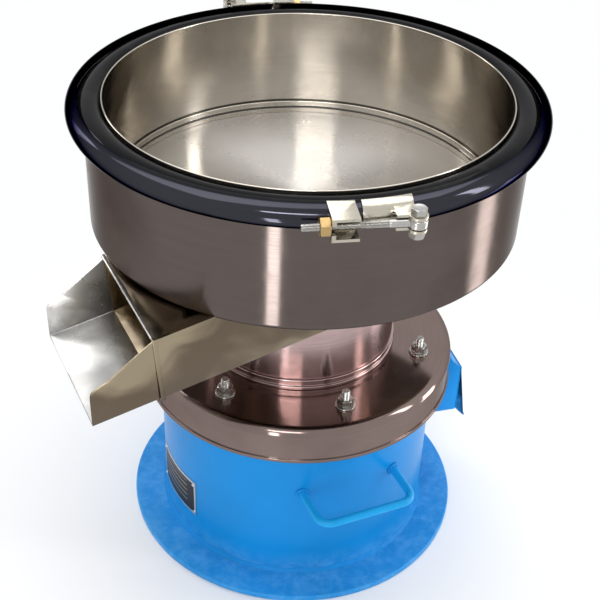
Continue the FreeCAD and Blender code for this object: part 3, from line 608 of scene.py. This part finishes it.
def gloss_rubber(name):
    """Black moulded rubber, shiny, with faint marks."""
    f = Finish(name)
    mark = f.noise(45.0, 4.0, 0.6).step(0.5, 0.8)
    base = f.tint(mark, (0.004, 0.004, 0.005), (0.012, 0.012, 0.013))
    return f.finish(Base_Color=base, Roughness=mark * 0.12 + 0.08, Specular_IOR_Level=0.05,
                    Normal=f.bump(f.noise(90.0, 3.0), 0.06, 0.0004))


def matt_rubber(name):
    """Black rubber or nylon, dull and a little grainy."""
    f = Finish(name)
    mark = f.noise(120.0, 4.0, 0.6)
    return f.finish(Base_Color=f.tint(mark, (0.018, 0.018, 0.019), (0.05, 0.05, 0.05)),
                    Roughness=mark * 0.2 + 0.5, Normal=f.bump(mark, 0.2, 0.0004))


def plate_finish(name, middle, angle, bottom, top):
    """Bare aluminium plate with dark blank fields and pale ruled lines between them."""
    f = Finish(name)
    out, aside = f.turned(middle)
    across = aside.angle(out) / (math.radians(angle) / 2)
    up = (f.z - (bottom + top) * MM / 2) / ((top - bottom) * MM / 2)
    inside = across.band(0.0, 0.93, 0.004) * up.band(0.0, 0.88, 0.006)
    lines = ((up * 3.4 + 10.0).part() - 0.5).size()
    ruled = (1 - lines.step(0.05, 0.09)) * across.band(-0.1, 0.7, 0.01) * up.band(0.12, 0.62, 0.01)
    brush = f.noise(1.0, 3.0, 0.6, at=f.stretched(60.0, 60.0, 2600.0))
    metal = f.tint(brush, (0.62, 0.62, 0.63), (0.46, 0.46, 0.47))
    dark = inside * (1 - ruled)
    metal = f.tint(inside * ruled, metal, (0.46, 0.40, 0.28))
    base = f.tint(dark, metal, (0.008, 0.008, 0.009))
    return f.finish(Base_Color=base, Metallic=1 - dark, Roughness=0.34 + dark * 0.06,
                    Specular_IOR_Level=0.25, Normal=f.bump(brush, 0.05, 0.0002))


AZURE = (0.004, 0.235, 0.63)
azure = enamel("AzureEnamel", AZURE, dust=0.5)
weld_azure = enamel("WeldEnamel", AZURE, rough=0.5)
# A lighter copy of the base's blue: painted highlight for the light its round bar catches.
handle_azure = enamel("HandleEnamel", (0.012, 0.36, 0.80), rough=0.24)
# The pan, neck, cover and clamp ring are one polished stainless steel. Their base colours, from near black
# for the clamp ring and dark for the pan to pale pink for the neck, are painted reflection of what each
# mirrors.
pan_steel = sheet_steel("PanSteel", (0.125, 0.102, 0.094), rough=0.13, grain=0.9, stains=0.6)
neck_steel = sheet_steel("NeckSteel", (0.52, 0.385, 0.38), rough=0.15, grain=0.9)
cover_steel = sheet_steel("CoverSteel", (0.235, 0.178, 0.162), rough=0.10, grain=0.85, stains=0.5)
clamp_steel = sheet_steel("ClampSteel", (0.042, 0.042, 0.052), rough=0.06, grain=0.2,
                          edge=(0.25, 0.25, 0.27))
chute_steel = chute_sheet("ChuteSteel", False)
trough_steel = chute_sheet("TroughSteel", True)
# Its two dark bands are painted shade: a contact shadow on the wall just above the mesh ring, and shade at
# the ring's inner step.
basket_steel = sheet_steel("BasketSteel", (0.57, 0.53, 0.465), rough=0.11, grain=0.93,
                           painted_shade_lines=[(MESH_RING_TOP + 1.3, 1.2), (MESH_RING_TOP - 7.5, 1.3)])
bracket_steel = plated("BracketSteel", (0.50, 0.465, 0.39), rough=0.16, spots=0.5)
mesh_cloth = woven_mesh("WireCloth")
zinc = plated("ZincPlate", (0.44, 0.43, 0.41), rough=0.15)
brass = plated("BrassNut", (0.46, 0.32, 0.145), rough=0.24, spots=0.4)
iron = plated("MotorIron", (0.20, 0.22, 0.25), rough=0.45)
laminations = plated("StackedIron", (0.28, 0.28, 0.29), rough=0.4)
gloss_black = gloss_rubber("RimRubber")
matt_black = matt_rubber("MountRubber")
nylon = matt_rubber("GlandNylon")
plate_metal = plate_finish("PlateMetal", PLATE_AZIMUTH, PLATE_ANGLE, low("nameplate"), high("nameplate"))
bare_aluminium = plated("RivetMetal", (0.70, 0.70, 0.71), rough=0.3, spots=0.2)


# ---------------------------------------------------------------- base

def build_base():
    """Foot ring with a softened edge, and the weld beads at the shell and the handles."""
    foot = soft_corners([
        (FOOT_BORE, 0, 1), (FOOT, 0, 1), (FOOT, FOOT_TOP, 2), (FOOT_BORE, FOOT_TOP, 1)])
    piece("foot_plate", revolved(foot), "base", azure, ["foot_ring"])

    inside, under = SHELL - 0.5, FOOT_TOP - 0.5

    def lumpy(angle, radius, height):
        """Bead that swells and shrinks: outline scaled about its corner by small waves."""
        swell = 1 + 0.06 * np.sin(angle * 61) + 0.05 * np.sin(angle * 37 + 1.3)
        return inside + (radius - inside) * swell, under + (height - under) * swell

    bead = [(inside, under), (SHELL + 3.9, under), (SHELL + 3.6, FOOT_TOP + 0.6),
            (SHELL + 2.3, FOOT_TOP + 1.3), (SHELL + 1.4, FOOT_TOP + 2.2), (SHELL + 0.6, FOOT_TOP + 3.5),
            (inside, FOOT_TOP + 3.8)]
    piece("foot_weld", revolved(bead, 720, wave=lumpy), "base", weld_azure, sharp=80)
    for side, turn in (("right", 0), ("left", 180)):
        beads = []
        for half in (-HANDLE_HALF, HANDLE_HALF):
            angle = np.linspace(0, TURN, 48, endpoint=False)
            y = half + HANDLE_WELD * np.cos(angle)
            z = HANDLE_LEVEL + HANDLE_WELD * np.sin(angle)
            x = np.sqrt(SHELL ** 2 - y ** 2) + 0.8
            beads.append(tube_along(np.stack([x, y, z], -1), 1.9 + 0.25 * np.sin(angle * 9)))
        beads = placed(joined(*beads), about_z(HANDLE_AZIMUTH + turn))
        piece("handle_welds_" + side, beads, "base", weld_azure)


# ---------------------------------------------------------------- deck

def build_deck():
    """Cover with its skirt and hem, collar at the neck's foot, and the fasteners of the mounts."""
    outer = COVER_HEM - 1.5
    inner = outer - COVER_SHEET
    under = COVER_TOP - COVER_SHEET
    outline = soft_corners([
        (COVER_BORE, COVER_TOP, 0.5), (COVER_BORE, under, 0.5), (inner, under, 7.5),
        (inner, COVER_LOW, 0.6), (COVER_HEM, COVER_LOW, 1.2), (COVER_HEM, COVER_LOW + 5, 1.2),
        (outer, COVER_LOW + 5, 0.4), (outer, COVER_TOP, 10)], steps=10)
    piece("deck_skin", revolved(outline, 320), "deck", cover_steel, ["deck_cover"])

    collar = soft_corners([
        (NECK - 1, COVER_TOP, 0), (NECK + 3, COVER_TOP, 1.2), (NECK + 3, COVER_TOP + 4.5, 1.2),
        (NECK + 0.8, COVER_TOP + 5.5, 0.6), (NECK + 0.8, COLLAR_TOP - 4.5, 0.6),
        (NECK + 2.6, COLLAR_TOP - 3.4, 1.2), (NECK + 2.6, COLLAR_TOP - 0.8, 1.2),
        (NECK - 1, COLLAR_TOP, 0)])
    piece("collar_band", revolved(collar, 320), "deck", neck_steel, ["neck_collar"])

    studs, washers, nuts = [], [], []
    for azimuth in MOUNTS:
        here = about_z(azimuth) @ shift(MOUNT_CIRCLE)
        stud_low = low("upper_mount_studs")
        stud = threaded(5, high("upper_mount_studs") - stud_low, 1.5)
        studs.append(placed(stud, here @ shift(z=stud_low)))
        ring = soft_corners([(5.4, 0, 0.3), (12, 0, 0.5), (12, 2, 0.5), (5.4, 2, 0.3)],
                            steps=3, support=0.2)
        washers.append(placed(revolved(ring, 64), here @ shift(z=low("upper_mount_washers"))))
        nut_place = here @ shift(z=low("upper_mount_nuts")) @ about_z(17)
        nuts.append(placed(hex_nut(NUT_CORNER, 9, 5), nut_place))
    piece("mount_stud_threads", joined(*studs), "deck", zinc, ["upper_mount_studs"], merge=True)
    piece("mount_washers", joined(*washers), "deck", zinc, ["upper_mount_washers"])
    piece("mount_nuts", joined(*nuts), "deck", zinc, ["upper_mount_nuts"])


def build_tub():
    """Tub wall as one turned outline, and its floor as a flat plate with the chute's opening."""
    floor_edge = TUB_SIDE - TUB_CORNER - 3
    rim_low = TUB_TOP - 12
    wall = soft_corners([
        (floor_edge, TUB_LOW, 0), (TUB_SIDE, TUB_LOW, TUB_CORNER), (TUB_SIDE, rim_low, 1),
        (TUB_RIM, rim_low, 0.8), (TUB_RIM, TUB_TOP, 0.9), (TUB_RIM - TUB_SHEET, TUB_TOP, 0.9),
        (TUB_RIM - TUB_SHEET, rim_low + TUB_SHEET, 0.8), (TUB_SIDE - TUB_SHEET, rim_low + TUB_SHEET, 1),
        (TUB_SIDE - TUB_SHEET, TUB_LOW + TUB_FLOOR, TUB_CORNER - TUB_SHEET),
        (floor_edge, TUB_LOW + TUB_FLOOR, 0)], steps=10)
    piece("pan_wall", revolved(wall, 360), "deck", pan_steel, ["tub"])

    angle = np.linspace(0, TURN, 180, endpoint=False)
    rim = [Vector((floor_edge * math.cos(a), floor_edge * math.sin(a), 0)) for a in angle]
    reach = TUB_SIDE - TUB_CORNER - 2
    curve = np.linspace(math.atan2(HOLE_NEAR, -math.sqrt(reach ** 2 - HOLE_NEAR ** 2)),
                        math.atan2(math.sqrt(reach ** 2 - HOLE_BACK ** 2), HOLE_BACK), 12)
    # the floor's edge lies just inside the opening's arc, so the arc is drawn a little smaller
    inset = 3
    arc = [((reach - inset) * math.cos(a), (reach - inset) * math.sin(a)) for a in curve]
    front = HOLE_FRONT - inset
    hole = [(front, HOLE_FAR), (front, HOLE_NEAR - inset)] + arc + [(HOLE_BACK, HOLE_FAR)]
    turn = about_z(CHUTE_AZIMUTH)
    hole = [turn @ Vector((x, y, 0)) for x, y in hole]
    faces = np.array(tessellate_polygon([rim, hole]))
    flat = np.array([p[:] for p in rim + hole])
    count = len(flat)
    low_points, high_points = flat + [0, 0, TUB_LOW], flat + [0, 0, TUB_LOW + TUB_FLOOR]
    triangles = np.concatenate([faces, faces[:, ::-1] + count])
    ring = np.concatenate([np.arange(len(rim)), np.arange(len(rim), count)])
    following = np.concatenate([
        np.roll(np.arange(len(rim)), -1), np.roll(np.arange(len(rim), count), -1)])
    walls = np.stack([ring, following, following + count, ring + count], axis=-1)
    plate = np.concatenate([low_points, high_points]), walls
    piece("pan_floor", plate, "deck", pan_steel, ["tub"], merge=True,
          triangles=triangles.tolist())


# ---------------------------------------------------------------- basket

def build_basket():
    """Basket wall with its flange, the mesh and the ring that holds it, and the rim's rubber."""
    outer = BASKET_SIDE + BASKET_SHEET
    flange_low = GASKET_LOW + 3.2
    flange_high = flange_low + 2.4
    shell = soft_corners([
        (BASKET_SIDE - 6, BASKET_LOW, 0.6), (outer, BASKET_LOW, 2), (outer, flange_low, 0.8),
        (BASKET_FLANGE, flange_low, 0.8), (BASKET_FLANGE, flange_high, 0.8), (outer, flange_high, 0.8),
        (outer, BASKET_TOP, 0.95), (BASKET_SIDE, BASKET_TOP, 0.95), (BASKET_SIDE, MESH_LOW, 0.6),
        (BASKET_SIDE - 6, MESH_LOW, 0.6)])
    piece("basket_wall", revolved(shell, 360), "basket", basket_steel, ["basket_shell"])

    ring_low = high("sieve_mesh")
    height = MESH_RING_TOP - ring_low
    ring = soft_corners([
        (BASKET_SIDE - 4, ring_low, 0.5), (BASKET_SIDE, ring_low, 0.2),
        (BASKET_SIDE, MESH_RING_TOP, 0.2),
        (BASKET_SIDE - 2.6, MESH_RING_TOP, 1.2), (BASKET_SIDE - 2.6, ring_low + height * 0.6, 0.6),
        (BASKET_SIDE - 4, ring_low + height * 0.5, 0.8)])
    piece("mesh_clamp_ring", revolved(ring, 360), "basket", basket_steel, ["mesh_ring"])

    def taut(angle, radius, height):
        """Stretched cloth: slow ripples of about a tenth of a millimetre that die out at the rim."""
        ripple = 0.10 * np.sin(angle * 3 + 0.6) + 0.06 * np.sin(angle * 7) + 0.05 * np.sin(radius / 26.0)
        return radius, height + ripple * np.clip(1 - radius / MESH, 0, 1) * np.clip(radius / 40, 0, 1)

    radii = np.linspace(0, MESH, 60)
    top, bottom = ring_low - 0.15, MESH_LOW + 0.15
    cloth = np.concatenate([np.stack([radii, radii * 0 + bottom], -1),
                            np.stack([radii[::-1], radii * 0 + top], -1)])
    piece("wire_cloth", revolved(cloth, 180, wave=taut), "basket", mesh_cloth,
          ["sieve_mesh"], merge=True)

    under = TUB_SIDE - TUB_SHEET - 0.3
    middle, half = (GASKET + outer) / 2, (GASKET - outer) / 2
    arch = [(middle + half * math.cos(turn), GASKET_TOP - 7 + 7 * math.sin(turn), 0)
            for turn in np.linspace(0, math.pi, 24)]
    gasket = soft_corners([
        (under, GASKET_LOW, 0.6), (GASKET, GASKET_LOW, 0.8), *arch,
        (outer, flange_high, 0.4), (BASKET_FLANGE, flange_high, 0.3), (BASKET_FLANGE, flange_low, 0.3),
        (under, flange_low, 0.4)], steps=8)
    piece("rim_rubber", revolved(gasket, 320), "basket", gloss_black, ["basket_gasket"])


# ---------------------------------------------------------------- clamp ring

def ring_outline():
    """The ring's section: a half tube from the lower lip round to the upper one."""
    bend = np.linspace(-math.pi / 2, math.pi / 2, 40)
    outer = np.stack([CLAMP_LIP + CLAMP_TUBE * np.cos(bend), CLAMP_MIDDLE + CLAMP_TUBE * np.sin(bend)], -1)
    inside = CLAMP_TUBE - CLAMP_SHEET
    inner = np.stack([CLAMP_LIP + inside * np.cos(bend), CLAMP_MIDDLE + inside * np.sin(bend)], -1)[::-1]
    return np.concatenate([outer, inner])


def build_clamp():
    """Two half rings, and at each end the swing bolt, its nut, the hinge and the brackets."""
    gap = math.degrees(RING_GAP / CLAMP_LIP)
    for side, turn in (("right", -85), ("left", 95)):
        start, sweep = math.radians(turn + gap / 2), math.radians(180 - gap)
        shape = revolved(ring_outline(), 200, start, sweep)
        piece("clamp_ring_" + side, shape, "ring_" + side, clamp_steel, ["ring_half_" + side])

    for end, turn, pivot_side, fork_side in (("front", 0, "right", "left"), ("rear", 180, "left", "right")):
        here = about_z(CLAMP_AZIMUTH + turn) @ shift(0, -BOLT_OUT, BOLT_LEVEL)
        section = soft_corners([(4.05, -EYE_HALF, 0.6), (9, -EYE_HALF, 2.2), (9, EYE_HALF, 2.2),
                                (4.05, EYE_HALF, 0.6)], steps=5)
        reach = PIVOT_ALONG + BOLT_TIP
        shank = threaded(BOLT_RADIUS, reach - EYE_HALF, THREAD, 0, reach - 26)
        bolt = joined(placed(revolved(section, 64), here @ shift(PIVOT_ALONG)),
                      placed(shank, here @ shift(-BOLT_TIP) @ ALONG_X))
        piece("eye_bolt_" + end, bolt, "bolt_" + end, zinc, ["swing_bolt_" + end], merge=True)

        nut = placed(hex_nut(NUT_CORNER, 10, BOLT_RADIUS + 0.05), here @ shift(NUT_ALONG) @ ALONG_X)
        piece("brass_nut_" + end, nut, "nut_" + end, brass, ["clamp_nut_" + end])

        node = "pivot_pin_" + end
        pin_low, pin_high = low(node) - BOLT_LEVEL, high(node) - BOLT_LEVEL
        rod = threaded(BOLT_RADIUS, PIN_HEAD - pin_low + 0.5, THREAD, 0, 9)
        head = hex_nut(PIN_NUT_CORNER, pin_high - PIN_HEAD, 0)
        pin = joined(placed(rod, here @ shift(PIVOT_ALONG, 0, pin_low)),
                     placed(head, here @ shift(PIVOT_ALONG, 0, PIN_HEAD)))
        piece("hinge_pin_" + end, pin, "ring_" + pivot_side, zinc, [node], merge=True)

        node = "pivot_nut_" + end
        small = placed(hex_nut(PIN_NUT_CORNER, high(node) - low(node), BOLT_RADIUS),
                       here @ shift(PIVOT_ALONG, 0, low(node) - BOLT_LEVEL))
        piece("hinge_nut_" + end, small, "ring_" + pivot_side, zinc, [node])
        softened("pivot_bracket_" + end, "ring_" + pivot_side, bracket_steel, 0.5)
        softened("fork_bracket_" + end, "ring_" + fork_side, bracket_steel, 0.6)


# ---------------------------------------------------------------- plain nodes

def dress_nodes():
    """Finishes for the nodes that stay as they are, and softened copies of those with plain edges."""
    for names, finish in (
            (("base_shell", "mount_seat_ring"), azure),
            (("carry_handle_right", "carry_handle_left"), handle_azure),
            (("nameplate",), plate_metal), (("nameplate_rivets",), bare_aluminium),
            (("neck",), neck_steel),
            (("rubber_mounts",), matt_black),
            (("lower_mount_studs", "lower_mount_nuts", "deck_plate", "upper_bearing", "lower_bearing",
              "motor_bolts", "rotor_shaft", "weight_lock_nuts"), zinc),
            (("motor_housing", "upper_end_shield", "lower_end_shield", "upper_weight",
              "lower_weight"), iron),
            (("stator_core", "rotor_core"), laminations)):
        for name in names:
            dress(name, finish)
    softened("terminal_box", "base", azure, 1.2)
    softened("terminal_cover", "base", azure, 0.8)
    softened("terminal_screws", "base", zinc, 0.7)
    softened("cable_gland", "base", nylon, 1.0)
    softened("chute_channel", "deck", chute_steel, 1.0)
    softened("chute_trough", "deck", trough_steel, 0.8)
    softened("mouth_frame", "deck", trough_steel, 1.2)


# ---------------------------------------------------------------- stage, light and camera

BACKDROP, BACKDROP_LEVEL, SKY_LEVEL = (0.99, 0.995, 1.0, 1.0), 1.0, 0.62
FLOOR_RADIUS = 30
# how far out, in metres, the floor starts to turn into the backdrop, and where it has
FLOOR_FADE = (0.26, 0.75)
STRIP_OUT = 0.78
CAMERA_PLACE = (-0.0952, -1.1334, 1.1082)
CAMERA_YAW, CAMERA_PITCH, CAMERA_ROLL = 2.394, 35.789, 0.95
CAMERA_LENS = 66.70
CAMERA_SHIFT = (0.0655, 0.0197)


def build_stage():
    """A wide flat floor with the object's shadow, which turns into a pale backdrop further out.

    The backdrop is there only for rays from the camera, off gloss and through clear things.
    """
    f = Finish("PaleFloor")
    grain = f.noise(3.0, 2.0)
    floor = f.finish(Base_Color=f.tint(grain, (0.86, 0.86, 0.86), (0.84, 0.84, 0.84)), Roughness=0.7)
    backdrop = f.node("ShaderNodeEmission", None, {"Color": BACKDROP, "Strength": BACKDROP_LEVEL})
    both = f.node("ShaderNodeMixShader", None, {
        0: f.radius().step(*FLOOR_FADE) * f.backdrop_rays(), 1: Wire(f, f.shader.outputs[0]), 2: backdrop})
    f.tree.links.new(both.socket, f.tree.nodes["Material Output"].inputs["Surface"])
    mesh = bpy.data.meshes.new("floor")
    angle = np.linspace(0, TURN, 96, endpoint=False)
    level = angle * 0 - 0.0005
    points = np.stack([FLOOR_RADIUS * np.cos(angle), FLOOR_RADIUS * np.sin(angle), level], -1)
    mesh.from_pydata(points.tolist(), [], [list(range(96))])
    mesh.materials.append(floor)
    obj = bpy.data.objects.new("floor", mesh)
    bpy.context.scene.collection.objects.link(obj)


def lamp(name, place, target, width, depth, power):
    """A soft box that faces a target and is itself not seen by the camera."""
    data = bpy.data.lights.new(name, "AREA")
    data.shape = "RECTANGLE"
    data.size, data.size_y = width, depth
    data.energy = power
    obj = bpy.data.objects.new(name, data)
    obj.location = place
    obj.rotation_euler = (Vector(target) - Vector(place)).to_track_quat("-Z", "Y").to_euler()
    obj.visible_camera = False
    bpy.context.scene.collection.objects.link(obj)


def build_light():
    """Soft boxes over, behind the viewer and at both sides, low strips that stand round the
    object to draw upright lines in its polished walls, and a pale sky.

    Rays from the camera, off gloss and through clear things see the sky white, the rest dimmer.
    """
    lamp("overhead", (-0.1, 0.6, 2.7), (0, 0.1, 0), 3.2, 2.2, 46)
    lamp("key", (-0.55, -2.9, 2.5), (0, 0, 0.3), 1.3, 0.4, 30)
    lamp("right_side", (2.3, -0.7, 1.3), (0, 0, 0.3), 0.35, 1.5, 16)
    lamp("left_side", (-2.0, 1.6, 1.5), (0, 0, 0.4), 0.5, 1.2, 12)
    for name, azimuth, width, power in (
            ("front_strip", -106, 0.07, 0.8), ("right_strip", -4, 0.16, 1.6)):
        turn = math.radians(azimuth)
        place = (STRIP_OUT * math.cos(turn), STRIP_OUT * math.sin(turn), 0.2)
        lamp(name, place, (0, 0, 0.3), width, 0.4, power)
    world = bpy.data.worlds.new("Studio")
    bpy.context.scene.world = world
    world.use_nodes = True
    web = Web(world.node_tree)
    sky = web.tree.nodes["Background"]
    sky.inputs["Color"].default_value = BACKDROP
    strength = web.backdrop_rays() * (BACKDROP_LEVEL - SKY_LEVEL) + SKY_LEVEL
    web.tree.links.new(strength.socket, sky.inputs["Strength"])


def build_camera():
    """A camera with its place in metres, turned right by yaw, down by pitch and rolled."""
    yaw, pitch, roll = (math.radians(a) for a in (CAMERA_YAW, CAMERA_PITCH, CAMERA_ROLL))
    level = math.cos(pitch)
    forward = Vector((math.sin(yaw) * level, math.cos(yaw) * level, -math.sin(pitch)))
    right = forward.cross(Vector((0, 0, 1))).normalized()
    up = right.cross(forward)
    rolled_right = right * math.cos(roll) + up * math.sin(roll)
    rolled_up = up * math.cos(roll) - right * math.sin(roll)
    data = bpy.data.cameras.new("Camera")
    data.lens = CAMERA_LENS
    data.shift_x, data.shift_y = CAMERA_SHIFT
    obj = bpy.data.objects.new("Camera", data)
    turn = Matrix((rolled_right, rolled_up, -forward)).transposed().to_4x4()
    obj.matrix_world = Matrix.Translation(CAMERA_PLACE) @ turn
    bpy.context.scene.collection.objects.link(obj)
    bpy.context.scene.camera = obj


dress_nodes()
build_base()
build_deck()
build_tub()
build_basket()
build_clamp()
build_stage()
build_light()
build_camera()
bpy.context.scene.view_settings.view_transform = "Standard"
